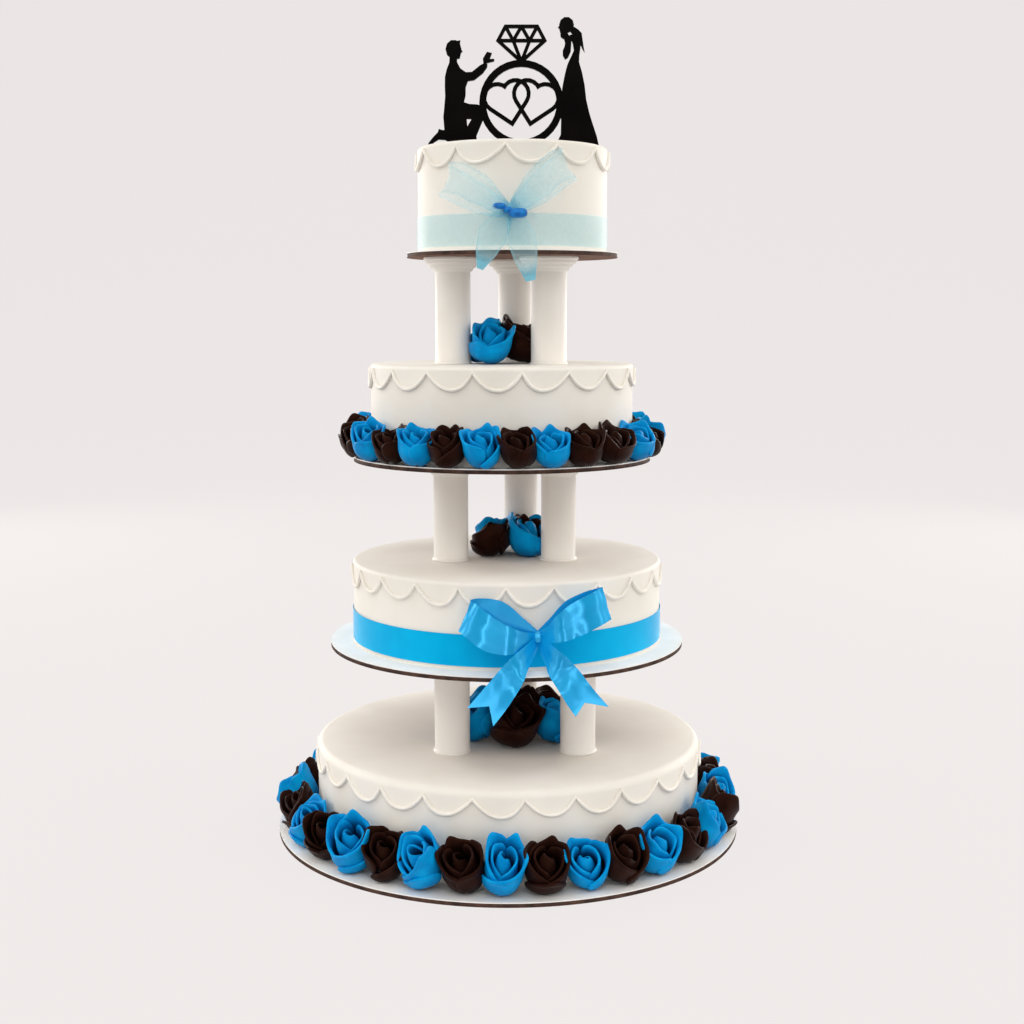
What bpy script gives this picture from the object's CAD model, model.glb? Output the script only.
"""Looks of the four-storey engagement cake, modelled piece by piece over its CAD frame."""
import math
from contextlib import contextmanager

import bmesh
import bpy
from mathutils import Matrix, Vector


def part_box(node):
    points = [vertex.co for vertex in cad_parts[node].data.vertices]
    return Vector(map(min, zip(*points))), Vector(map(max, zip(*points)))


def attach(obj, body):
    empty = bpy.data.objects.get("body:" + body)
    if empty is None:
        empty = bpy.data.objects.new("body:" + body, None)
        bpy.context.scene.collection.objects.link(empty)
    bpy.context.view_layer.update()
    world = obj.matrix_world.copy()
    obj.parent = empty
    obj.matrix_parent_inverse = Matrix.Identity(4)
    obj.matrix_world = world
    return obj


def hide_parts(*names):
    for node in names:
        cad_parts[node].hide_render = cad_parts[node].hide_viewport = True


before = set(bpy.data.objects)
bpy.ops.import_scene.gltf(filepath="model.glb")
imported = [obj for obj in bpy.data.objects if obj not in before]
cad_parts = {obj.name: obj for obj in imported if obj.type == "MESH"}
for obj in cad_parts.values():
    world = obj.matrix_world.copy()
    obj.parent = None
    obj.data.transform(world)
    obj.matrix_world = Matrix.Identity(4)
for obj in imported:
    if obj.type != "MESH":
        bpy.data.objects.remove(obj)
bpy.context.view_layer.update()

MM = 0.001

# Camera of the photograph: a 52 mm lens, a little above the third cake, looking slightly down.
CAMERA = {"x": 3.4 * MM, "distance": 1269.6 * MM, "height": 445 * MM, "pitch": 7.62,
          "lens": 52.0, "sensor": 36}

# Places and sizes in metres and turns in degrees from the front, near those of the CAD solids.
CLEARANCE = 0.4 * MM
# A rose in a ring is pressed until it reaches this far past the middle of the gap to its neighbour.
# The outermost vertex in so many, at the tips of the petals, is not counted.
TOUCH = 0.4 * MM
TIPS_ONE_IN = 80
SWAG = {"proud": 1.8 * MM, "drop": 14 * MM, "cusp_drop": 1.2 * MM, "roundness": 2.2, "steps": 12}
# Number of swags, turn of the first cusp and rounding of the top edge of each cake.
SWAGS = {1: (26, 4.5, 6 * MM), 2: (22, 0.0, 3 * MM), 3: (18, 8.4, 3 * MM), 4: (12, -3.7, 3 * MM)}
CAKE_SIDES = 144
CAKE_WAVES = {"size": 0.07, "depth": 0.9 * MM}
CAP = {"gap": 0.3 * MM, "skin": 1.3 * MM, "hem": 0.6 * MM, "arc_steps": 5,
       "rings": (0.85, 0.8, 0.75, 0.6, 0.4)}
BEAD = {"proud": 0.8 * MM, "thickness": 3.2 * MM}
BOARD = {"liner": 0.5 * MM, "paper": 0.8 * MM, "recess": 0.5 * MM, "rim": 0.5 * MM}
PILLAR_FOOT = {"radius": 16 * MM, "height": 1.2 * MM}
PILLAR_SHAFT = 14.8 * MM
PILLAR_FILLET = 1 * MM
# Radius and rise of each step of the capital, from below. It takes up PILLAR_ENDS with foot and fillet.
CAPITAL = [(16.6 * MM, 0.8 * MM), (17.2 * MM, 2 * MM), (19.4 * MM, 0.8 * MM), (20 * MM, 2.2 * MM),
           (22.6 * MM, 1 * MM), (23.4 * MM, 2.4 * MM), (24.5 * MM, 0.6 * MM), (24.5 * MM, 2.2 * MM)]
PILLAR_ENDS = 14.2 * MM
ROSE_RADIUS = 18 * MM
ROSE_HEIGHT = 40 * MM
FOOT_ROSES = {"cake": 1, "board": 1, "tilt": 28, "scale": 0.92, "behind": 20,
              "front": [-53.3, -41.8, -31.4, -21.1, -10.8, -0.8, 9.2, 19.1, 29.1, 39.8, 51.4, 64.2]}
SPRAY_ROSES = {"cake": 3, "board": 3, "sprays": 3, "each": 9, "pitch": 12.6, "start": -69.9,
               "closer": 4.5, "tilt": 14, "scale": 0.76, "squat": 0.95}
CLUSTER_LEAN = 1 / 3
# Middle of each cluster and turn and reach of its roses, in millimetres and degrees.
CLUSTERS = {
    1: {"slip": 6, "middle": -14, "scale": 0.98, "first": "blue",
        "roses": [(-66, 35), (-6, 30), (60, 35), (108, 30), (-112, 28), (178, 20)]},
    2: {"slip": 2, "middle": 8, "scale": 0.9, "first": "brown",
        "roses": [(-66, 18), (62, 17), (128, 19), (-138, 19)]},
    3: {"slip": -2, "middle": -4, "scale": 0.9, "first": "blue",
        "roses": [(-32, 25), (66, 14), (-118, 16), (160, 15)]},
}
CLUSTER_SQUAT = 0.92
RIBBON_WIDTH = 25.5 * MM
RIBBON_THICKNESS = 0.35 * MM
RIBBON_WAVES = {"size": 0.05, "depth": 0.5 * MM}
BAND_GAP = 0.9 * MM
BAND_COVER = 0.14
BOW_SIDEWAYS = {2: 25 * MM, 4: -1.4 * MM}
BOW_HEIGHT = 29 * MM
BOW_GAP = 1.4 * MM


def uneven(index):
    """A repeatable share from 0 to 1 that looks uneven."""
    wave = math.sin(index * 12.9898 + 4.1414) * 43758.5453
    return wave - math.floor(wave)


def around(turn, radius, z=0.0):
    """A point at a turn in degrees from the front, counted towards +X."""
    return Vector((radius * math.sin(math.radians(turn)), -radius * math.cos(math.radians(turn)), z))


def rotation(degrees, axis):
    """A turn about one axis, as a matrix."""
    return Matrix.Rotation(math.radians(degrees), 4, axis)


# Hand tools
def hold(piece):
    """Makes a piece the active and only selected object."""
    bpy.ops.object.select_all(action="DESELECT")
    piece.select_set(True)
    bpy.context.view_layer.objects.active = piece
    return piece


@contextmanager
def editing(piece, mode="VERT"):
    """Edit mode on one piece with nothing selected, and object mode again afterwards."""
    hold(piece)
    bpy.ops.object.mode_set(mode="EDIT")
    bpy.ops.mesh.select_mode(type=mode)
    bpy.ops.mesh.select_all(action="DESELECT")
    yield piece
    bpy.ops.object.mode_set(mode="OBJECT")


def pick(piece, test, kind="verts"):
    """In edit mode, selects just the vertices, edges or faces that pass the test."""
    bpy.ops.mesh.select_all(action="DESELECT")
    mesh = bmesh.from_edit_mesh(piece.data)
    for item in getattr(mesh, kind):
        if test(item):
            item.select_set(True)
    mesh.select_flush_mode()
    bmesh.update_edit_mesh(piece.data)


def resize(x, y, z, centre=(0, 0, 0)):
    """In edit mode, scales what is selected about a point."""
    bpy.ops.transform.resize(value=(x, y, z), center_override=centre)


def centre_of(item):
    """The middle of an edge or a face."""
    return sum((v.co for v in item.verts), Vector()) / len(item.verts)


def finish_with(piece, kind, **settings):
    """Adds a modifier, sets it and applies it."""
    hold(piece)
    modifier = piece.modifiers.new(kind.title(), kind)
    for name, value in settings.items():
        setattr(modifier, name, value)
    bpy.ops.object.modifier_apply(modifier=modifier.name)


def smooth(piece, levels):
    """Subdivides a piece to a rounder form."""
    finish_with(piece, "SUBSURF", levels=levels, render_levels=levels)


def shade(piece, degrees):
    """Smooth shading with a crease where faces meet at more than this angle."""
    hold(piece)
    bpy.ops.object.shade_smooth_by_angle(angle=math.radians(degrees))


def outward(piece):
    """Merges doubles and turns all faces outwards."""
    with editing(piece):
        bpy.ops.mesh.select_all(action="SELECT")
        bpy.ops.mesh.remove_doubles(threshold=0.00001)
        bpy.ops.mesh.normals_make_consistent(inside=False)


def join(pieces, name):
    """Joins pieces into the first of them, under a new name."""
    bpy.ops.object.select_all(action="DESELECT")
    for piece in pieces:
        piece.select_set(True)
    bpy.context.view_layer.objects.active = pieces[0]
    if len(pieces) > 1:
        bpy.ops.object.join()
    pieces[0].name = name
    return pieces[0]


def copy_of(piece, matrix):
    """A copy with its own mesh, moved by a matrix."""
    copy = piece.copy()
    copy.data = piece.data.copy()
    copy.data.transform(matrix)
    bpy.context.scene.collection.objects.link(copy)
    return copy


def settle(piece, node, slot, *materials):
    """Puts a finished piece in place of its CAD node, with its finish."""
    hold(piece)
    bpy.ops.object.transform_apply()
    if materials:
        piece.data.materials.clear()
        for finish in materials:
            piece.data.materials.append(finish)
    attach(piece, "root")
    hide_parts(node)
    return piece


# Materials
def linear(hexa):
    """sRGB hex colour as linear RGBA."""
    shares = [int(hexa[i:i + 2], 16) / 255 for i in (1, 3, 5)]
    return [s / 12.92 if s <= 0.04045 else ((s + 0.055) / 1.055) ** 2.4 for s in shares] + [1.0]


def add_node(tree, kind, settings=None, **inputs):
    """Adds a node; an input given a socket is linked, any other is set. Spaces are written as _."""
    node = tree.nodes.new(kind)
    for name, value in (settings or {}).items():
        setattr(node, name, value)
    for name, value in inputs.items():
        key = int(name[1:]) if name[0] == "i" and name[1:].isdigit() else name.replace("_", " ")
        if isinstance(value, bpy.types.NodeSocket):
            tree.links.new(value, node.inputs[key])
        else:
            node.inputs[key].default_value = value
    return node


def new_material(name):
    """A material with its tree, its shader and its Object coordinates."""
    material = bpy.data.materials.new(name)
    material.use_nodes = True
    tree = material.node_tree
    coordinates = add_node(tree, "ShaderNodeTexCoord")
    return material, tree, tree.nodes["Principled BSDF"], coordinates.outputs["Object"]


def set_shader(shader, **values):
    """Sets plain inputs of a shader. Spaces are written as _."""
    for name, value in values.items():
        shader.inputs[name.replace("_", " ")].default_value = value


def per_metre(size_mm):
    """Texture scale that gives features of about this many millimetres."""
    return 1 / (size_mm * MM)


MOTTLE = (0.35, 0.65)
SMOOTHSTEP = {"interpolation_type": "SMOOTHSTEP"}


def maths(tree, operation, *values):
    """The result of a maths node on up to three values, each a socket or a number."""
    inputs = {f"i{k}": value for k, value in enumerate(values)}
    return add_node(tree, "ShaderNodeMath", {"operation": operation}, **inputs).outputs[0]


def colour_ramp(tree, factor, low, high, first, second):
    """The first colour up to a low factor, the second from a high one, and a blend between."""
    ramp = add_node(tree, "ShaderNodeValToRGB", Fac=factor)
    for end, position, colour in zip(ramp.color_ramp.elements, (low, high), (first, second)):
        end.position = position
        end.color = linear(colour)
    return ramp.outputs["Color"]


def two_tone(tree, place, size_mm, first, second):
    """A soft mottling of two colours with patches of the given size."""
    noise = add_node(tree, "ShaderNodeTexNoise", Vector=place, Scale=per_metre(size_mm), Detail=3.0)
    return colour_ramp(tree, noise.outputs["Fac"], *MOTTLE, first, second)


def bump_from(tree, shader, height, strength, depth_mm):
    """Bump of the given depth on a shader."""
    bump = add_node(tree, "ShaderNodeBump", Height=height, Strength=strength, Distance=depth_mm * MM)
    tree.links.new(bump.outputs["Normal"], shader.inputs["Normal"])


def grain_bump(tree, shader, place, size_mm, depth_mm, strength=0.5):
    """Fine unevenness of the surface with features of the given size."""
    noise = add_node(tree, "ShaderNodeTexNoise", Vector=place, Scale=per_metre(size_mm), Detail=4.0)
    bump_from(tree, shader, noise.outputs["Fac"], strength, depth_mm)


def sugar_paste_icing():
    """Rolled sugar paste, smoothed by hand: ivory, soft sheen, faint waves."""
    material, tree, shader, place = new_material("rolled_sugar_paste")
    tree.links.new(two_tone(tree, place, 55, "#EDE8DE", "#F2EEE6"), shader.inputs["Base Color"])
    grain_bump(tree, shader, place, 9, 0.25, 0.35)
    set_shader(shader, Roughness=0.6, IOR=1.45, Specular_IOR_Level=0.2)
    return material


def modelling_paste(name, deep, dark, light, sheen, roughness):
    """Hand-rolled modelling paste: dense colour that darkens down inside the petals, a dull sheen of
    its own colour with finger marks."""
    material, tree, shader, place = new_material(name)
    rolled = two_tone(tree, place, 12, dark, light)
    depth = add_node(tree, "ShaderNodeAttribute", {"attribute_name": "depth"})
    lit = add_node(tree, "ShaderNodeMapRange", SMOOTHSTEP, Value=depth.outputs["Fac"],
                   From_Min=0.38, From_Max=0.9)
    mix = add_node(tree, "ShaderNodeMix", {"data_type": "RGBA"}, i0=lit.outputs["Result"],
                   i6=linear(deep), i7=rolled)
    tree.links.new(mix.outputs[2], shader.inputs["Base Color"])
    grain_bump(tree, shader, place, 4, 0.2, 0.35)
    set_shader(shader, Roughness=roughness, IOR=1.45, Specular_IOR_Level=0.2, Specular_Tint=linear(sheen))
    return material


def ribbon_core_weave(name, dark, light):
    """Tight blue ribbon wound into the organza's knot: dense colour, silky."""
    material, tree, shader, place = new_material(name)
    tree.links.new(two_tone(tree, place, 4, dark, light), shader.inputs["Base Color"])
    grain_bump(tree, shader, place, 2, 0.3, 0.5)
    set_shader(shader, Roughness=0.4, Specular_IOR_Level=0.3)
    return material


def white_board_paper():
    """Coated white paper over cake card: matt, faintly fibrous."""
    material, tree, shader, place = new_material("white_board_paper")
    tree.links.new(two_tone(tree, place, 20, "#F3F1EC", "#F8F6F2"), shader.inputs["Base Color"])
    grain_bump(tree, shader, place, 1.5, 0.05)
    set_shader(shader, Roughness=0.75, Specular_IOR_Level=0.08)
    return material


RIM_WAVES = 32.0


def kraft_edge():
    """Cut edge of corrugated kraft card: mottled brown, a little darker in slow waves round the rim."""
    material, tree, shader, place = new_material("corrugated_kraft_edge")
    parts = add_node(tree, "ShaderNodeSeparateXYZ", Vector=place)
    angle = maths(tree, "ARCTAN2", parts.outputs["Y"], parts.outputs["X"])
    wave = maths(tree, "SINE", maths(tree, "MULTIPLY", angle, RIM_WAVES))
    noise = add_node(tree, "ShaderNodeTexNoise", Vector=place, Scale=per_metre(7), Detail=3.0)
    total = maths(tree, "MULTIPLY_ADD", wave, 0.06, noise.outputs["Fac"])
    browns = colour_ramp(tree, total, 0.3, 0.72, "#2A150D", "#573A2C")
    tree.links.new(browns, shader.inputs["Base Color"])
    bump_from(tree, shader, total, 0.6, 0.4)
    set_shader(shader, Roughness=0.8)
    return material


def kraft_liner():
    """Bare kraft paper under the board: mid brown, fibrous, matt."""
    material, tree, shader, place = new_material("kraft_liner")
    tree.links.new(two_tone(tree, place, 8, "#6E4E3F", "#7E5D4C"), shader.inputs["Base Color"])
    grain_bump(tree, shader, place, 2, 0.08)
    set_shader(shader, Roughness=0.8, Specular_IOR_Level=0.2)
    return material


def moulded_pillar_plastic():
    """Injection-moulded polystyrene: clean white, smooth, clear soft reflections at the edges."""
    material, tree, shader, place = new_material("moulded_polystyrene")
    tree.links.new(two_tone(tree, place, 40, "#F3EEE6", "#F6F2EB"), shader.inputs["Base Color"])
    grain_bump(tree, shader, place, 14, 0.1, 0.2)
    set_shader(shader, Roughness=0.45, IOR=1.5, Specular_IOR_Level=0.4)
    return material


def satin_weave(name, dark, light, metallic, gloss, index, tint):
    """Polyester satin: saturated blue, long floats that shine in broad bands along the ribbon."""
    material, tree, shader, place = new_material(name)
    tree.links.new(two_tone(tree, place, 30, dark, light), shader.inputs["Base Color"])
    stretched = add_node(tree, "ShaderNodeMapping", Vector=place, Scale=(0.06, 0.06, 1.0))
    grain_bump(tree, shader, stretched.outputs["Vector"], 1.2, 0.06, 0.2)
    set_shader(shader, Metallic=metallic, Roughness=0.25, IOR=index, Specular_IOR_Level=gloss,
               Specular_Tint=linear(tint), Anisotropic=0.6, Anisotropic_Rotation=0.25)
    return material


def organza_weave():
    """Sheer organza: open weave of fine shiny thread, pale blue and see-through, denser where it is
    gathered and along its hems."""
    material, tree, shader, place = new_material("pale_organza")
    cover = add_node(tree, "ShaderNodeAttribute", {"attribute_name": "cover"})
    dense = add_node(tree, "ShaderNodeMapRange", Value=cover.outputs["Fac"], From_Min=0.08, From_Max=0.5)
    mix = add_node(tree, "ShaderNodeMix", {"data_type": "RGBA"}, i0=dense.outputs["Result"],
                   i6=two_tone(tree, place, 25, "#B2EEF9", "#C6F5FC"), i7=linear("#7CC3D8"))
    tree.links.new(mix.outputs[2], shader.inputs["Base Color"])
    weave = add_node(tree, "ShaderNodeTexNoise", Vector=place, Scale=per_metre(3), Detail=2.0)
    veil = maths(tree, "MULTIPLY_ADD", weave.outputs["Fac"], 0.08, cover.outputs["Fac"])
    tree.links.new(veil, shader.inputs["Alpha"])
    set_shader(shader, Roughness=0.45, Specular_IOR_Level=0.3, Sheen_Weight=0.3, Sheen_Roughness=0.4)
    return material


def black_acrylic():
    """Laser-cut cast acrylic: deep black, flame-bright edges, mirror-like gloss with faint ripples."""
    material, tree, shader, place = new_material("black_cast_acrylic")
    tree.links.new(two_tone(tree, place, 30, "#070505", "#0E0A0A"), shader.inputs["Base Color"])
    grain_bump(tree, shader, place, 25, 0.05, 0.15)
    set_shader(shader, Roughness=0.2, IOR=1.49, Specular_IOR_Level=0.06)
    return material


ICING = sugar_paste_icing()
BLUE_PASTE = modelling_paste("blue_modelling_paste", "#05315F", "#0687CB", "#089FE0", "#3FB4EA", 0.5)
BROWN_PASTE = modelling_paste("brown_modelling_paste", "#060303", "#1E0E0A", "#2D1711", "#8A5A48", 0.46)
BOARD_PAPER = white_board_paper()
BOARD_EDGE = kraft_edge()
BOARD_UNDERSIDE = kraft_liner()
PILLAR_PLASTIC = moulded_pillar_plastic()
SATIN = satin_weave("blue_satin", "#04B0E8", "#06BAF0", 0.05, 0.1, 1.5, "#A6E2F8")
BOW_SATIN = satin_weave("glossy_blue_satin", "#04A2E2", "#06AEEC", 0.3, 0.8, 1.6, "#CBEDF9")
ORGANZA = organza_weave()
KNOT_BLUE = ribbon_core_weave("deep_blue_ribbon", "#0560B4", "#0A84D4")
ACRYLIC = black_acrylic()


# Iced cakes
def swag_line(number, radius, cap_top):
    """Points along the scalloped lower edge of the icing cap, each swag a little its own."""
    swags, cusp, _ = SWAGS[number]
    points = []
    for i in range(swags * SWAG["steps"]):
        swag, step = divmod(i, SWAG["steps"])
        share = step / SWAG["steps"]
        sag = 1 - abs(2 * share - 1) ** SWAG["roundness"]
        drop = SWAG["drop"] * (0.92 + 0.16 * uneven(swag + 31 * number))
        skew = 0.16 * (uneven(swag + 57 * number) - 0.5) * sag
        turn = cusp + 360 * (i / SWAG["steps"] + skew) / swags
        points.append(around(turn, radius, cap_top - SWAG["cusp_drop"] - drop * sag))
    return points


def poly_curve(name, points, dimensions):
    """A curve with straight spans through points."""
    curve = bpy.data.curves.new(name, "CURVE")
    curve.dimensions = dimensions
    spline = curve.splines.new("POLY")
    spline.points.add(len(points) - 1)
    for spot, point in zip(spline.points, points):
        spot.co = (*point, 1)
    piece = bpy.data.objects.new(name, curve)
    bpy.context.scene.collection.objects.link(piece)
    return piece


def closed_line(name, points, thickness=0.0):
    """A closed line through points as a mesh; with a thickness it is a round bead."""
    piece = poly_curve(name, points, "3D")
    piece.data.bevel_depth = thickness / 2
    piece.data.bevel_resolution = 3
    piece.data.splines[0].use_cyclic_u = True
    hold(piece)
    bpy.ops.object.convert(target="MESH")
    return bpy.context.object


def slight_waves(piece, size, depth):
    """Unevenness of a surface smoothed or laid by hand."""
    texture = bpy.data.textures.new(f"{piece.name}_waves", "CLOUDS")
    texture.noise_scale = size
    texture.noise_depth = 1
    finish_with(piece, "DISPLACE", texture=texture, strength=depth, mid_level=0.5,
                texture_coords="LOCAL")


def icing_cap(number, radius, top, edge):
    """Thin cap of icing: scalloped skirt, rounded edge and flat top."""
    cap_top = top - edge
    skirt = closed_line(f"cap_{number}", swag_line(number, radius, cap_top))
    with editing(skirt, "EDGE"):
        bpy.ops.mesh.select_all(action="SELECT")
        for level in (cap_top - CAP["hem"], cap_top):
            bpy.ops.mesh.extrude_edges_move()
            resize(1, 1, 0, (0, 0, level))
        turned = 0.0
        for step in range(1, CAP["arc_steps"] + 1):
            angle = math.radians(90 * step / CAP["arc_steps"])
            rise = edge * (math.sin(angle) - math.sin(turned))
            before = radius - edge * (1 - math.cos(turned))
            after = radius - edge * (1 - math.cos(angle))
            bpy.ops.mesh.extrude_edges_move(TRANSFORM_OT_translate={"value": (0, 0, rise)})
            share = after / before
            resize(share, share, 1)
            turned = angle
        for share in CAP["rings"]:
            bpy.ops.mesh.extrude_edges_move(TRANSFORM_OT_translate={"value": (0, 0, 0)})
            resize(share, share, 1)
        bpy.ops.mesh.edge_face_add()
    outward(skirt)
    finish_with(skirt, "SOLIDIFY", thickness=CAP["skin"], offset=-1.0)
    return skirt


def iced_cake(number):
    """One cake: its round body, the scalloped cap over it and the bead along the scallops."""
    lo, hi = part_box(f"cake_{number}")
    _, _, edge = SWAGS[number]
    middle = Vector(((lo.x + hi.x) / 2, (lo.y + hi.y) / 2, 0))
    radius = (hi.x - lo.x) / 2 - SWAG["proud"]
    height = hi.z - lo.z
    bpy.ops.mesh.primitive_cylinder_add(vertices=CAKE_SIDES, radius=radius, depth=height - MM,
                                        end_fill_type="NGON", location=(0, 0, lo.z + (height - MM) / 2))
    body = bpy.context.object
    bpy.ops.object.transform_apply()
    with editing(body, "EDGE"):
        for level in range(1, 7):
            bpy.ops.mesh.select_all(action="SELECT")
            bpy.ops.mesh.bisect(plane_co=(0, 0, lo.z + height * level / 8), plane_no=(0, 0, 1))
        pick(body, lambda e: all(v.co.z > hi.z - 1.5 * MM for v in e.verts), "edges")
        bpy.ops.mesh.bevel(offset=edge, segments=3, affect="EDGES")
    cap_radius = radius + CAP["gap"]
    cap = icing_cap(number, cap_radius, hi.z, edge)
    scallops = swag_line(number, cap_radius + BEAD["proud"], hi.z - edge)
    bead = closed_line(f"bead_{number}", scallops, BEAD["thickness"])
    piece = join([body, cap, bead], f"iced_cake_{number}")
    slight_waves(piece, **CAKE_WAVES)
    shade(piece, 50)
    piece.location = middle
    return settle(piece, f"cake_{number}", "icing", ICING)


# Boards
def cake_board(number):
    """Card disc: white paper on top and just over the edge, a recessed corrugated core and a brown
    liner below."""
    lo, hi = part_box(f"board_{number}")
    radius = (hi.x - lo.x) / 2
    middle = (lo + hi) / 2
    liner = lo.z + BOARD["liner"]
    paper = hi.z - BOARD["paper"]
    bpy.ops.mesh.primitive_cylinder_add(vertices=160, radius=radius, depth=hi.z - lo.z,
                                        location=(0, 0, middle.z))
    piece = bpy.context.object
    piece.name = f"cake_board_{number}"
    bpy.ops.object.transform_apply()
    for finish in (BOARD_PAPER, BOARD_EDGE, BOARD_UNDERSIDE):
        piece.data.materials.append(finish)
    with editing(piece, "FACE"):
        pick(piece, lambda f: abs(f.normal.z) > 0.9, "faces")
        bpy.ops.mesh.inset(thickness=BOARD["rim"])
        for level in (liner, paper):
            bpy.ops.mesh.select_all(action="SELECT")
            bpy.ops.mesh.bisect(plane_co=(0, 0, level), plane_no=(0, 0, 1))
        pick(piece, lambda f: abs(f.normal.z) < 0.1 and centre_of(f).z < paper, "faces")
        piece.active_material_index = 1
        bpy.ops.object.material_slot_assign()
        pick(piece, lambda f: f.normal.z < -0.9, "faces")
        piece.active_material_index = 2
        bpy.ops.object.material_slot_assign()
        pick(piece, lambda f: abs(f.normal.z) < 0.1 and liner < centre_of(f).z < paper, "faces")
        bpy.ops.mesh.extrude_region_shrink_fatten(TRANSFORM_OT_shrink_fatten={"value": -BOARD["recess"]})
    shade(piece, 30)
    piece.location = (middle.x, middle.y, 0)
    return settle(piece, f"board_{number}", "board_card")


# Pillars
def pillar(node):
    """Turned-looking moulding: plain shaft, low foot ring, capital in three steps."""
    lo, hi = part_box(node)
    middle = (lo + hi) / 2
    foot, low = PILLAR_FOOT["radius"], PILLAR_FOOT["height"]
    bpy.ops.mesh.primitive_cylinder_add(vertices=48, radius=foot, depth=low,
                                        location=(0, 0, lo.z + low / 2))
    piece = bpy.context.object
    piece.name = node.replace("pillar", "turned_pillar")
    bpy.ops.object.transform_apply()
    steps = [(PILLAR_SHAFT, PILLAR_FILLET), (PILLAR_SHAFT, hi.z - lo.z - PILLAR_ENDS), *CAPITAL]
    with editing(piece, "FACE"):
        pick(piece, lambda f: f.normal.z > 0.9, "faces")
        before = foot
        for radius, rise in steps:
            share = radius / before
            bpy.ops.mesh.extrude_region_move(TRANSFORM_OT_translate={"value": (0, 0, rise)})
            resize(share, share, 1)
            before = radius
    finish_with(piece, "BEVEL", width=0.35 * MM, segments=2, limit_method="ANGLE",
                angle_limit=math.radians(25))
    shade(piece, 35)
    piece.location = (middle.x, middle.y, 0)
    return settle(piece, node, "pillar_plastic", PILLAR_PLASTIC)


# Sugar roses
PETAL_ROWS = 7
PETAL_COLUMNS = 10
OUTER_REACH = (0.44, 0.72, 0.88, 0.95, 0.97, 0.96, 0.96, 1.02)
OUTER_SPREAD = (0.5, 0.7, 0.86, 0.96, 1.0, 1.0, 0.94, 0.74)
INNER_REACH = (0.2, 0.42, 0.6, 0.67, 0.69, 0.67, 0.64, 0.66)
BUD_REACH = (0.2, 0.32, 0.4, 0.44, 0.43, 0.38, 0.29, 0.18)
FULL_SPREAD = (0.6, 0.8, 0.95, 1.0, 1.0, 1.0, 0.95, 0.8)
TIP_WIDTH = 0.26
# Least light on a petal's outside, and the share of its light by height that is added.
OUTSIDE_LIGHT = (0.56, 0.44)


def petal(radius, wrap, height, reach, spread, rim, tip, tuck, thickness, light):
    """One petal: a flat sheet given its outline, rim and profile, then rolled round the rose's axis.
    reach and spread hold radius and width for each row from foot to rim, rim the heights at its left,
    middle and right, tip a point's height, place and turn outwards, tuck how far one side slips inwards,
    and light how bright its rim is, less for the petals deep inside."""
    width = radius * math.radians(wrap)
    bpy.ops.mesh.primitive_grid_add(x_subdivisions=PETAL_COLUMNS, y_subdivisions=PETAL_ROWS, size=1,
                                    rotation=(math.pi / 2, 0, 0), location=(0, 0, height / 2))
    piece = bpy.context.object
    piece.scale = (width, height, 1)
    bpy.ops.object.transform_apply()
    across = PETAL_COLUMNS + 1
    depth = piece.data.attributes.new("depth", "FLOAT", "POINT")
    lights = [light * (i // across) / PETAL_ROWS for i in range(len(piece.data.vertices))]
    depth.data.foreach_set("value", lights)
    left, middle, right = rim
    rise, spot, turn_out = tip
    with editing(piece):
        for row in range(PETAL_ROWS + 1):
            pick(piece, lambda v: v.index // across == row)
            bpy.ops.transform.translate(value=(0, radius - reach[row] * ROSE_RADIUS, 0))
            resize(spread[row], 1, 1)
        for column in range(across):
            side = 2 * column / PETAL_COLUMNS - 1
            point = math.exp(-(((side - spot) / TIP_WIDTH) ** 2))
            slope = (right - left) / 2 * side
            dish = ((left + right) / 2 - middle) * side ** 2
            level = middle + slope + dish + rise * point
            pick(piece, lambda v: v.index % across == column)
            resize(1, 1, level)
            bpy.ops.transform.translate(value=(0, tuck * side, 0))
            for row, share in ((PETAL_ROWS - 1, 0.4), (PETAL_ROWS, 1.0)):
                pick(piece, lambda v: v.index == row * across + column)
                bpy.ops.transform.translate(value=(0, -turn_out * ROSE_RADIUS * point * share, 0))
    finish_with(piece, "SIMPLE_DEFORM", deform_method="BEND", deform_axis="Z", angle=math.radians(wrap))
    piece.data.transform(Matrix.Translation((0, -radius, 0)))
    finish_with(piece, "SOLIDIFY", thickness=thickness, offset=0.0)
    smooth(piece, 1)
    outward(piece)
    brighten_outside(piece)
    return piece


def brighten_outside(piece):
    """The outside of a petal keeps most of its light down to the foot; only the inside darkens."""
    least, added = OUTSIDE_LIGHT
    values = [0.0] * len(piece.data.vertices)
    depth = piece.data.attributes["depth"].data
    depth.foreach_get("value", values)
    for v in piece.data.vertices:
        if v.normal.x * v.co.x + v.normal.y * v.co.y > 0:
            values[v.index] = least + added * values[v.index]
    depth.foreach_set("value", values)


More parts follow.
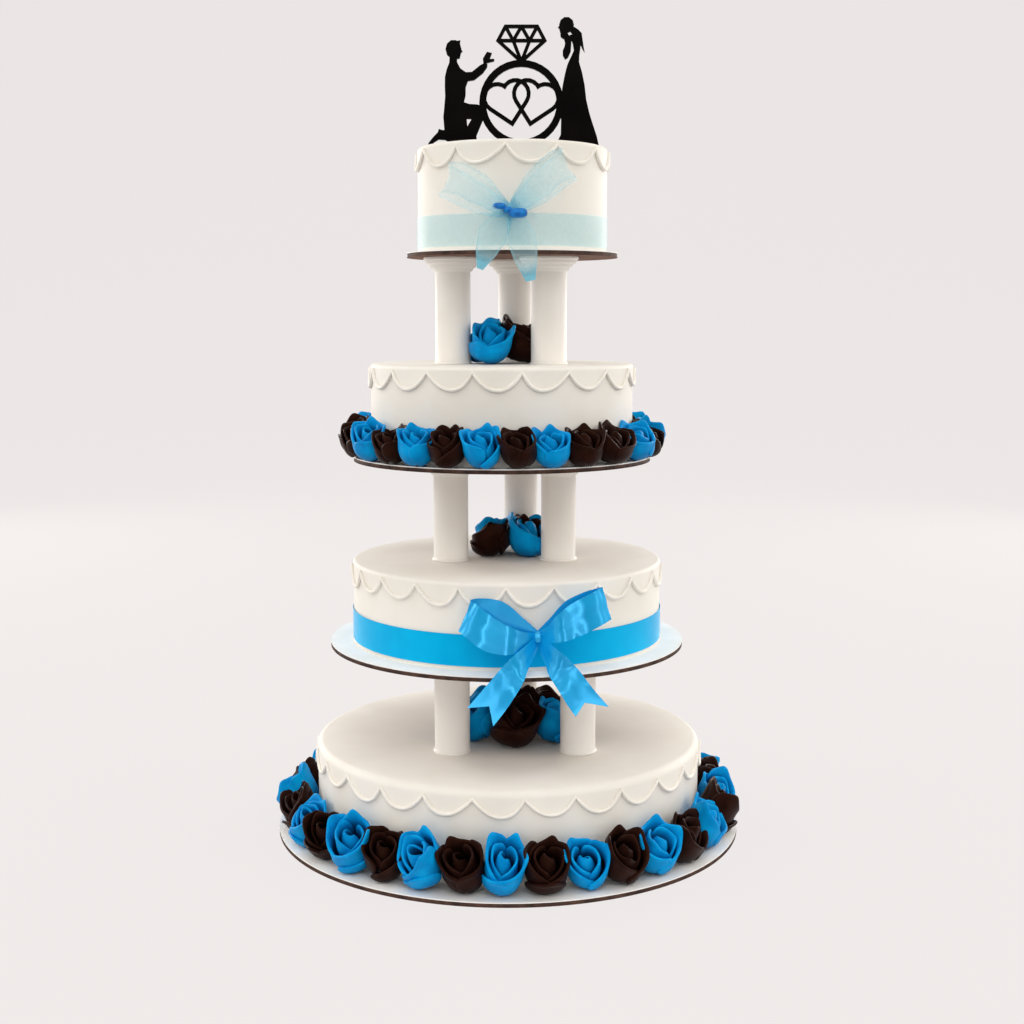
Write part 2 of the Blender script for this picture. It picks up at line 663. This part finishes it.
def rose_form(seed, front, crossing):
    """A rose at full size on its foot, open towards -Y: a rolled bud, two inner petals, two side petals of
    which one crosses over the other in front, a back petal and on the wide open ones a lip at the foot.
    front is how high the front stands, low on an open rose and high on a half-closed one, and crossing how
    much higher or lower the petal on the outside comes across."""
    r, h = ROSE_RADIUS, ROSE_HEIGHT
    jitter = [2 * uneven(seed * 29 + k) - 1 for k in range(40)]
    hand = 1 if seed % 2 else -1
    parts = []

    def add(place, tipped, *shape):
        """Adds a petal, tipped outwards and turned to its place."""
        parts.append(petal(*shape))
        parts[-1].data.transform(rotation(place, "Z") @ rotation(tipped, "X"))

    add(60 * jitter[0], 0, 0.42 * r, 400, 0.85 * h, BUD_REACH, FULL_SPREAD, (1.0, 0.95, 0.74),
        (0.08, -0.5, 0.0), 0.06 * r, 2.4 * MM, 0.8)
    for k, place in enumerate((-70, 95)):
        low = 0.62 + 0.12 * jitter[1 + k]
        rim = (1.0, 0.92, low) if k == 0 else (low, 0.92, 1.0)
        add(place + 28 * jitter[7 + k], 0, 0.68 * r, 200, (0.87 + 0.06 * jitter[3 + k]) * h, INNER_REACH,
            FULL_SPREAD, rim, (0.1, 0.6 * jitter[5 + k], 0.06), 0.05 * r, 2.6 * MM, 0.9)
    for k, place in enumerate((84 + 10 * jitter[9], -56 + 16 * jitter[10])):
        low = front + 0.1 * jitter[11 + k] + crossing * k
        steep = (low, 0.82 + 0.06 * jitter[13 + k], 0.98)
        over = hand if k == 0 else -hand
        rim = steep if place * hand > 0 else steep[::-1]
        tip = (0.16, over * (0.5 + 0.3 * jitter[19 + k]), 0.12 + 0.1 * jitter[21 + k])
        add(place * hand, 5 * jitter[15 + k] + 2, (0.93 + 0.03 * k) * r, 190,
            (0.92 + 0.06 * jitter[17 + k]) * h, OUTER_REACH, OUTER_SPREAD, rim, tip,
            0.06 * r, 3.0 * MM, 1.0)
    add(180 + 30 * jitter[23], 5 * jitter[24], 0.96 * r, 150, (0.96 + 0.06 * jitter[25]) * h, OUTER_REACH,
        OUTER_SPREAD, (0.82, 0.88, 0.82), (0.2, 0.6 * jitter[26], 0.1), 0.04 * r, 2.8 * MM, 1.0)
    if front < 0.6 and seed % 3:
        flared = tuple(x + 0.015 * k for k, x in enumerate(OUTER_REACH))
        add(55 * jitter[27], 3, 1.0 * r, 130, (0.5 + 0.1 * jitter[28]) * h, flared, OUTER_SPREAD,
            (0.66, 1.0, 0.76), (0.16, 0.6 * jitter[29], 0.1), 0.05 * r, 2.8 * MM, 1.0)
    rose = join(parts, f"rose_form_{seed}")
    hold(rose)
    bpy.ops.object.shade_smooth()
    return rose


OPEN_ROSES = [rose_form(seed, 0.46, 0.06) for seed in range(1, 11)]
HALF_CLOSED_ROSES = [rose_form(seed, 0.72, -0.34) for seed in range(21, 28)]
FOOT_FORMS = OPEN_ROSES[:5] + HALF_CLOSED_ROSES[:2] + OPEN_ROSES[5:] + HALF_CLOSED_ROSES[2:4]


def nestled(piece, tilt, turn, wall, floor, slip):
    """Leans a rose outwards and moves it until it just clears the cake's side and its board."""
    piece.data.transform(rotation(tilt, "X"))
    spots = [v.co for v in piece.data.vertices]
    lowest = min(co.z for co in spots)
    reach = max(co.y + math.sqrt(wall ** 2 - co.x ** 2) for co in spots)
    shift = Matrix.Translation((0, -reach - CLEARANCE, floor - lowest + CLEARANCE))
    spin = Matrix.Translation((slip, 0, 0)) @ rotation(turn, "Z")
    piece.data.transform(spin @ shift)


def rose_copy(forms, index, size, squat, finish):
    """A copy of one of the forms, made squatter, turned on its axis and rolled its own way."""
    form = forms[(index * 3 + index // len(forms)) % len(forms)]
    spin = rotation(60 * (uneven(index + 91) - 0.5), "Z")
    roll = rotation(36 * (uneven(index + 17) - 0.5), "Y")
    rose = copy_of(form, roll @ Matrix.Diagonal((size, size, size * squat, 1)) @ spin)
    rose.data.materials.clear()
    rose.data.materials.append(finish)
    return rose


def press_between(rose, turns, k, radius):
    """Presses or spreads rose k of a ring sideways until it meets the roses to its left and right."""
    before = math.radians((turns[k] - turns[k - 1]) % 360)
    after = math.radians((turns[(k + 1) % len(turns)] - turns[k]) % 360)
    left, right = (radius * arc / 2 + TOUCH for arc in (before, after))
    across = sorted(v.co.x for v in rose.data.vertices)
    tips = len(across) // TIPS_ONE_IN
    low, high = across[tips], across[-1 - tips]
    share = (left + right) / (high - low)
    shift = Matrix.Translation((-left - share * low, 0, 0))
    rose.data.transform(shift @ Matrix.Diagonal((share, 1, 1, 1)))


def cake_wall(number):
    """Radius, sideways slip and top of a cake's side."""
    lo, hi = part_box(f"cake_{number}")
    return (hi.x - lo.x) / 2 - SWAG["proud"], (lo.x + hi.x) / 2, hi.z


def foot_roses():
    """The ring on the lowest board, brown and blue in turn."""
    ring = FOOT_ROSES
    wall, slip, _ = cake_wall(ring["cake"])
    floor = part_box(f"board_{ring['board']}")[1].z
    first, last = ring["front"][0], ring["front"][-1]
    pitch = (first + 360 - last) / (ring["behind"] + 1)
    turns = ring["front"] + [last + pitch * (k + 1) for k in range(ring["behind"])]
    for k, turn in enumerate(turns):
        node = f"rose_{k + 1:02d}"
        tilt = ring["tilt"] + 14 * (uneven(k + 50) - 0.5)
        colour, finish = ("rose_blue", BLUE_PASTE) if k % 2 else ("rose_brown", BROWN_PASTE)
        rose = rose_copy(FOOT_FORMS, k, ring["scale"] * (0.93 + 0.1 * uneven(k)), 1, finish)
        press_between(rose, turns, k, wall + ring["scale"] * ROSE_RADIUS)
        nestled(rose, tilt, turn, wall, floor, slip)
        rose.name = f"sugar_{node}"
        settle(rose, node, colour)


def spray_roses():
    """The ring round the third cake, in sprays that begin and end with brown."""
    ring = SPRAY_ROSES
    wall, slip, _ = cake_wall(ring["cake"])
    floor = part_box(f"board_{ring['board']}")[1].z
    turns = [ring["start"] + 360 * spray / ring["sprays"] + ring["pitch"] * k - ring["closer"] * (k == 0)
             for spray in range(ring["sprays"]) for k in range(ring["each"])]
    roses = []
    for count, turn in enumerate(turns):
        colour = BLUE_PASTE if count % ring["each"] % 2 else BROWN_PASTE
        size = ring["scale"] * (0.95 + 0.07 * uneven(count))
        rose = rose_copy(HALF_CLOSED_ROSES, count + 40, size, ring["squat"], colour)
        press_between(rose, turns, count, wall + ring["scale"] * ROSE_RADIUS)
        nestled(rose, ring["tilt"] + 10 * (uneven(count + 70) - 0.5), turn, wall, floor, slip)
        roses.append(rose)
    for spray in range(ring["sprays"]):
        first = spray * ring["each"]
        piece = join(roses[first:first + ring["each"]], f"sugar_rose_spray_{spray + 1}")
        settle(piece, f"rose_spray_{spray + 1}", "roses_mixed")


def rose_clusters():
    """The roses between the pillars, each leaning outwards from the middle of its cluster."""
    for number, cluster in CLUSTERS.items():
        _, _, top = cake_wall(number)
        roses = []
        for k, (turn, reach) in enumerate(cluster["roses"]):
            size = cluster["scale"] * (0.94 + 0.1 * uneven(k + 7 * (number - 1)))
            spot = around(turn, reach * MM) + Vector((cluster["slip"] * MM, cluster["middle"] * MM, 0))
            blue = (k % 2 == 0) == (cluster["first"] == "blue")
            rose = rose_copy(OPEN_ROSES, k + 70 + 10 * number, size, CLUSTER_SQUAT,
                             BLUE_PASTE if blue else BROWN_PASTE)
            rose.data.transform(rotation(turn, "Z") @ rotation(reach * CLUSTER_LEAN, "X"))
            lowest = min(v.co.z for v in rose.data.vertices)
            rose.data.transform(Matrix.Translation(spot + Vector((0, 0, top + CLEARANCE - lowest))))
            roses.append(rose)
        piece = join(roses, f"sugar_rose_cluster_{number}")
        settle(piece, f"rose_cluster_{number}", "roses_mixed")


# Ribbons
def ribbon_band(number, slot, finish):
    """Ribbon drawn tight round the cake."""
    node = f"ribbon_band_{number}"
    lo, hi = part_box(node)
    middle = (lo + hi) / 2
    wall, _, _ = cake_wall(number)
    radius = wall + BAND_GAP
    bpy.ops.mesh.primitive_cylinder_add(vertices=CAKE_SIDES, radius=radius, depth=hi.z - lo.z,
                                        end_fill_type="NOTHING", location=(0, 0, middle.z))
    piece = bpy.context.object
    piece.name = node.replace("ribbon", slot.split("_")[0])
    bpy.ops.object.transform_apply()
    with editing(piece, "EDGE"):
        for share in (0.04, 0.35, 0.65, 0.96):
            bpy.ops.mesh.select_all(action="SELECT")
            bpy.ops.mesh.bisect(plane_co=(0, 0, lo.z + share * (hi.z - lo.z)), plane_no=(0, 0, 1))
    slight_waves(piece, **RIBBON_WAVES)
    cover = piece.data.attributes.new("cover", "FLOAT", "POINT")
    cover.data.foreach_set("value", [BAND_COVER] * len(piece.data.vertices))
    finish_with(piece, "SOLIDIFY", thickness=RIBBON_THICKNESS, offset=-1.0)
    shade(piece, 40)
    piece.location = (middle.x, middle.y, 0)
    settle(piece, node, slot, finish)


RIBBON_COLUMNS = 9
NOTCH_RUNGS = 7
# Cover of the open weave, width share below which it gets no denser, its rise, and the hem's extra.
WEAVE = {"open": 0.06, "narrowest": 0.25, "power": 2.8, "hem": 0.12}


def ribbon_profile(pleat):
    """Cross-section of a soft ribbon, upright, with shallow lengthwise waves of the given depth share."""
    waves = (0.0, 0.7, -0.2, -0.8, 0.1, 0.9, 0.2, -0.6, 0.0)
    points = [Vector((pleat * wave * RIBBON_WIDTH, (k / (RIBBON_COLUMNS - 1) - 0.5) * RIBBON_WIDTH, 0))
              for k, wave in enumerate(waves)]
    return poly_curve("ribbon_profile", points, "2D")


def ribbon_strip(name, stations, pleat, notch, slant):
    """A length of ribbon along a smooth path. Each station is (x, y, z, width share, tilt in degrees),
    with its place in mm. A notch is cut in the last end, its lower corner drawn back by the slant."""
    profile = ribbon_profile(pleat)
    bpy.ops.curve.primitive_bezier_curve_add()
    curve = bpy.context.object.data
    curve.dimensions = "3D"
    curve.twist_mode = "Z_UP"
    curve.resolution_u = 7
    curve.bevel_mode = "OBJECT"
    curve.bevel_object = profile
    spline = curve.splines[0]
    spline.bezier_points.add(len(stations) - 2)
    for spot, (x, y, z, share, tilt) in zip(spline.bezier_points, stations):
        spot.co = (x * MM, y * MM, z * MM)
        spot.handle_left_type = spot.handle_right_type = "AUTO"
        spot.radius = share
        spot.tilt = math.radians(tilt)
    bpy.ops.object.convert(target="MESH")
    piece = bpy.context.object
    piece.name = name
    bpy.data.objects.remove(profile)
    spots = [v.co.copy() for v in piece.data.vertices]
    rungs = len(spots) // RIBBON_COLUMNS
    widths = [(spots[(i + 1) * RIBBON_COLUMNS - 1] - spots[i * RIBBON_COLUMNS]).length / RIBBON_WIDTH
              for i in range(rungs)]
    hems = [abs(2 * k / (RIBBON_COLUMNS - 1) - 1) for k in range(RIBBON_COLUMNS)]
    cover = piece.data.attributes.new("cover", "FLOAT", "POINT")
    covers = [WEAVE["open"] / max(width, WEAVE["narrowest"]) ** WEAVE["power"] for width in widths]
    cover.data.foreach_set("value", [share + (WEAVE["hem"] if hem > 0.9 else 0.0)
                                     for share in covers for hem in hems])
    if notch:
        middle = [spots[i * RIBBON_COLUMNS + RIBBON_COLUMNS // 2] for i in range(rungs)]
        with editing(piece):
            for back in range(NOTCH_RUNGS):
                rung = rungs - 1 - back
                along = (middle[rung - 1] - middle[rung]).normalized()
                for column in range(RIBBON_COLUMNS - 1):
                    low = 1 - column / (RIBBON_COLUMNS - 1)
                    pull = (notch * (1 - hems[column]) + slant * low) * MM * (1 - back / NOTCH_RUNGS)
                    pick(piece, lambda v: v.index == rung * RIBBON_COLUMNS + column)
                    bpy.ops.transform.translate(value=along * pull)
    return piece


KNOT_SIDES = 14
CREASE_STEP = 25.7


def knot_wrap(name, width, height, depth):
    """The turn of ribbon that gathers the bow: a pinched barrel with creases."""
    bpy.ops.mesh.primitive_cylinder_add(vertices=KNOT_SIDES, radius=1, depth=2,
                                        rotation=(0, math.pi / 2, 0))
    piece = bpy.context.object
    piece.name = name
    bpy.ops.object.transform_apply()
    with editing(piece, "EDGE"):
        for cut in (-0.5, 0.0, 0.5):
            bpy.ops.mesh.select_all(action="SELECT")
            bpy.ops.mesh.bisect(plane_co=(cut, 0, 0), plane_no=(1, 0, 0))
        pick(piece, lambda e: all(abs(v.co.x) < 0.6 for v in e.verts), "edges")
        resize(1, 1.12, 1.12)
        pick(piece, lambda e: all(abs(abs(v.co.x) - 1) < 0.01 for v in e.verts), "edges")
        resize(1, 0.72, 0.72)
        bpy.ops.mesh.select_mode(type="VERT")
        pick(piece, lambda v: round(math.degrees(math.atan2(v.co.z, v.co.y)) / CREASE_STEP) % 2 == 0)
        resize(1, 0.88, 0.88)
    piece.scale = (width / 2, depth / 2, height / 2)
    hold(piece)
    bpy.ops.object.transform_apply()
    smooth(piece, 2)
    hold(piece)
    bpy.ops.object.shade_smooth()
    return piece


def bow(number, slot, finish, knot_finish, strips, knots, pleat):
    """Loops and tails as lengths of ribbon, gathered by a knot of one or more turns. Each turn is
    (x, y, z, width, height, depth) in mm, and length is all the ribbon in the bow."""
    node = f"ribbon_bow_{number}"
    kind = slot.split("_")[0]
    wall, slip, _ = cake_wall(number)
    board_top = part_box(f"board_{number}")[1].z
    knot_at = Vector((slip + BOW_SIDEWAYS[number], -(wall + CLEARANCE + BOW_GAP),
                      board_top + BOW_HEIGHT))
    pieces = [ribbon_strip(f"{slot}_{k}", stations, pleat, notch, slant)
              for k, (stations, notch, slant) in enumerate(strips)]
    cloth = join(pieces, node.replace("ribbon", kind))
    finish_with(cloth, "SOLIDIFY", thickness=RIBBON_THICKNESS, offset=0.0)
    shade(cloth, 45)
    cloth.location = knot_at
    settle(cloth, node, slot, finish)
    lumps = []
    for k, (x, y, z, width, height, depth) in enumerate(knots):
        lump = knot_wrap(f"{slot}_knot_{k}", width * MM, height * MM, depth * MM)
        lump.location = (x * MM, y * MM, z * MM)
        lumps.append(lump)
    knot = join(lumps, f"{slot}_knot")
    hold(knot)
    bpy.ops.object.transform_apply()
    knot.location = knot_at
    settle(knot, node, slot, knot_finish)


# Two loops and two tails for each bow, with the notch and slant of each last end in mm.
SATIN_STRIPS = [
    ([(0, -5, 0, 0.28, 0), (-10, -13, -1, 0.5, 4), (-23, -20, 0, 0.86, 10), (-36, -19.5, 4, 1.0, 14),
      (-48, -15, 11.5, 1.0, 17), (-54.5, -10, 16, 1.0, 20), (-56.5, -7, 17.2, 1.0, 22),
      (-54, -4.4, 17, 1.0, 16), (-45, -3.6, 17.5, 1.0, -2), (-32, -3.4, 15.5, 1.0, -12),
      (-13, -3, 6, 0.6, -6), (0, -3, 0, 0.28, 0)], 0.0, 0.0),
    ([(0, -5, 0, 0.28, 0), (8, -13.5, 3.5, 0.5, -4), (18, -21, 10, 0.82, -8), (30, -20, 17, 1.0, -10),
      (43, -15.5, 23, 1.02, -12), (51, -10, 26.4, 1.02, -13), (53.2, -7, 27.2, 1.02, -15),
      (51, -4.4, 26.6, 1.02, -10), (43, -3.6, 24.5, 1.0, -4), (28, -3.4, 18, 0.95, 0),
      (12, -3, 7.5, 0.55, 0), (0, -3, 0, 0.28, 0)], 0.0, 0.0),
    ([(0, -5, -1, 0.28, 0), (-6, -13, -9, 0.5, 8), (-16, -23, -20, 0.72, 16), (-23, -26, -30, 0.84, 28),
      (-34, -34, -43, 0.92, 36), (-45, -41, -55, 0.95, 40)], 11.0, 1.5),
    ([(0, -5, -1, 0.28, 0), (6, -13, -8, 0.55, -8), (15, -23, -19, 0.78, -16), (23, -26, -29, 0.86, -28),
      (33, -34, -42, 0.92, -36), (44, -41, -54, 0.95, -40)], 9.0, 10.0),
]
ORGANZA_STRIPS = [
    ([(0, -5, 0, 0.3, 0), (-10, -10, 3, 0.62, 2), (-24, -14, 9, 0.92, 8), (-39, -13, 17, 1.0, 14),
      (-49, -7, 24, 1.02, 26), (-44, -3, 26, 1.0, 18), (-26, -2.5, 18, 0.95, 4), (-10, -2.5, 6, 0.6, 0),
      (0, -3, 0, 0.3, 0)], 0.0, 0.0),
    ([(0, -5, 0, 0.3, 0), (8, -10, 6, 0.62, -2), (20, -14, 15, 0.92, -6), (33, -13, 26, 1.0, -16),
      (44, -7, 36, 1.05, -30), (39, -3, 36, 1.0, -20), (22, -2.5, 22, 0.95, -4), (8, -2.5, 8, 0.6, 0),
      (0, -3, 0, 0.3, 0)], 0.0, 0.0),
    ([(0, -5, -1, 0.3, 0), (-7, -8, -8, 0.75, 0), (-14, -11, -19, 1.0, 0), (-19, -13, -31, 0.7, 0),
      (-24, -14, -45, 0.2, 0)], 0.0, 0.0),
    ([(0, -5, -1, 0.3, 0), (4, -8, -9, 0.75, 0), (8.5, -11, -21, 1.0, 0), (12, -12.4, -36, 0.75, 0),
      (16, -13, -54, 0.3, 0)], 0.0, 0.0),
]


SATIN_KNOT = [(0, -6.5, 0, 7.5, 9, 8)]
ORGANZA_KNOT = [(-9, -9, 4, 11, 5, 5), (-2, -10, 1, 7, 5, 5), (6, -11, -1.5, 15, 7.5, 7)]


# Stage, light and camera
FLOOR = {"size": 6, "middle_y": 2.52, "forward": 2.5, "wall": 4, "sweep": 1.2, "sweep_steps": 12}
# Lines just inside the front and back edges of the first square of floor.
FLOOR_FRONT_Y, FLOOR_BACK_Y = -0.4, 5.4
FLOOR_GLOW = {"From_Min": -0.8, "From_Max": -0.42, "To_Min": 0.1, "To_Max": 0.87}
# Strength of the sky from front to back, and from below the horizon up to that strength.
SKY_BACKWARDS = {"From_Min": -0.9, "From_Max": -0.2, "To_Min": 0.22, "To_Max": 0.95}
SKY_UPWARDS = {"From_Min": -0.15, "From_Max": 0.1, "To_Min": 0.2}
WARM_WHITE, WHITE = "#FFFCF7", "#FFFFFF"
# Place, aim, width and height, watts and, where it is not warm white, tint of each soft box.
SOFT_BOXES = {
    "window_left": ((-1.6, -1.15, 0.85), (0, 0, 0.4), (0.12, 1.5), 2),
    "window_right": ((1.6, -1.1, 0.85), (0, 0, 0.4), (0.12, 1.5), 1.8),
    "top_left": ((-1.4, -0.6, 2.3), (0, 0, 0.35), (0.7, 0.8), 3),
    "top_right": ((1.4, -0.5, 2.3), (0, 0, 0.35), (0.7, 0.8), 3),
    "top_front": ((0.0, -1.5, 2.7), (0, 0, 0.2), (1.0, 0.5), 4),
    "glint_front": ((0.0, -1.95, 1.65), (0, 0, 0.25), (1.6, 1.1), 11.5),
    "strip_left": ((-0.8, -1.95, 0.55), (0, 0, 0.25), (0.16, 1.0), 2.7),
    "strip_right": ((0.8, -1.95, 0.55), (0, 0, 0.25), (0.16, 1.0), 2.7),
    "side_left": ((-2.0, 0.1, 1.05), (0, 0, 0.25), (1.0, 0.6), 6.8),
    "side_right": ((2.0, 0.1, 1.05), (0, 0, 0.25), (1.0, 0.6), 6.8),
    "back_left": ((-1.5, 1.7, 0.75), (0, 0, 0.2), (1.0, 0.6), 19),
    "back_right": ((1.5, 1.7, 0.75), (0, 0, 0.2), (1.0, 0.6), 18),
    "low_wash": ((0.0, -2.6, 0.25), (0, 0, 0.05), (1.6, 0.3), 3, WHITE),
}


def pale_sweep():
    """Seamless pale floor and wall that glow evenly, with the glow fading in front of the part."""
    bpy.ops.mesh.primitive_plane_add(size=FLOOR["size"], location=(0, FLOOR["middle_y"], 0))
    floor = bpy.context.object
    floor.name = "pale_floor"
    bpy.ops.object.transform_apply(location=True, rotation=False, scale=False)
    with editing(floor, "EDGE"):
        pick(floor, lambda e: all(v.co.y < FLOOR_FRONT_Y for v in e.verts), "edges")
        bpy.ops.mesh.extrude_edges_move(TRANSFORM_OT_translate={"value": (0, -FLOOR["forward"], 0)})
        pick(floor, lambda e: all(v.co.y > FLOOR_BACK_Y for v in e.verts), "edges")
        bpy.ops.mesh.extrude_edges_move(TRANSFORM_OT_translate={"value": (0, 0, FLOOR["wall"])})
        pick(floor, lambda e: all(v.co.y > FLOOR_BACK_Y and v.co.z < 0.1 for v in e.verts), "edges")
        bpy.ops.mesh.bevel(offset=FLOOR["sweep"], segments=FLOOR["sweep_steps"], affect="EDGES")
    hold(floor)
    bpy.ops.object.shade_smooth()
    material, tree, shader, place = new_material("pale_sweep")
    parts = add_node(tree, "ShaderNodeSeparateXYZ", Vector=place)
    glow = add_node(tree, "ShaderNodeMapRange", SMOOTHSTEP, Value=parts.outputs["Y"], **FLOOR_GLOW)
    tree.links.new(glow.outputs["Result"], shader.inputs["Emission Strength"])
    set_shader(shader, Base_Color=linear("#464645"), Roughness=0.9, Specular_IOR_Level=0.0,
               Emission_Color=linear("#F5F0EF"))
    floor.data.materials.append(material)


def soft_box(name, location, aim, size, watts, tint=WARM_WHITE):
    """An area light turned towards its aim."""
    bpy.ops.object.light_add(type="AREA", location=location)
    light = bpy.context.object
    light.name = name
    light.data.shape = "RECTANGLE"
    light.data.size, light.data.size_y = size
    light.data.energy = watts
    light.data.color = linear(tint)[:3]
    light.rotation_euler = (Vector(aim) - Vector(location)).to_track_quat("-Z", "Y").to_euler()


def studio_sky():
    """Even pale light from behind and above, dim in front so that the satin mirrors the boxes."""
    world = bpy.data.worlds.new("studio")
    bpy.context.scene.world = world
    world.use_nodes = True
    tree = world.node_tree
    background = tree.nodes["Background"]
    way = add_node(tree, "ShaderNodeTexCoord")
    parts = add_node(tree, "ShaderNodeSeparateXYZ", Vector=way.outputs["Generated"])
    behind = add_node(tree, "ShaderNodeMapRange", SMOOTHSTEP, Value=parts.outputs["Y"], **SKY_BACKWARDS)
    sky = add_node(tree, "ShaderNodeMapRange", SMOOTHSTEP, Value=parts.outputs["Z"],
                   To_Max=behind.outputs["Result"], **SKY_UPWARDS)
    background.inputs["Color"].default_value = linear("#F6F3F2")
    tree.links.new(sky.outputs["Result"], background.inputs["Strength"])
    bpy.context.scene.view_settings.view_transform = "Standard"


def photo_camera():
    """The camera of the photograph."""
    bpy.ops.object.camera_add(location=(CAMERA["x"], -CAMERA["distance"], CAMERA["height"]),
                              rotation=(math.radians(90 - CAMERA["pitch"]), 0, 0))
    camera = bpy.context.object
    camera.data.lens = CAMERA["lens"]
    camera.data.sensor_width = CAMERA["sensor"]
    bpy.context.scene.camera = camera


pale_sweep()
for box_name, box_settings in SOFT_BOXES.items():
    soft_box(box_name, *box_settings)
studio_sky()
photo_camera()
for storey in (1, 2, 3, 4):
    cake_board(storey)
    iced_cake(storey)
for storey in (1, 2, 3):
    for place in ("left", "right", "back"):
        pillar(f"pillar_{storey}_{place}")
foot_roses()
spray_roses()
rose_clusters()
for form in OPEN_ROSES + HALF_CLOSED_ROSES:
    bpy.data.objects.remove(form)
ribbon_band(2, "satin_ribbon", SATIN)
ribbon_band(4, "organza_ribbon", ORGANZA)
bow(2, "satin_ribbon", BOW_SATIN, BOW_SATIN, SATIN_STRIPS, SATIN_KNOT, pleat=0.01)
bow(4, "organza_ribbon", ORGANZA, KNOT_BLUE, ORGANZA_STRIPS, ORGANZA_KNOT, pleat=0.02)
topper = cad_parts["topper"]
topper.data.materials.clear()
topper.data.materials.append(ACRYLIC)
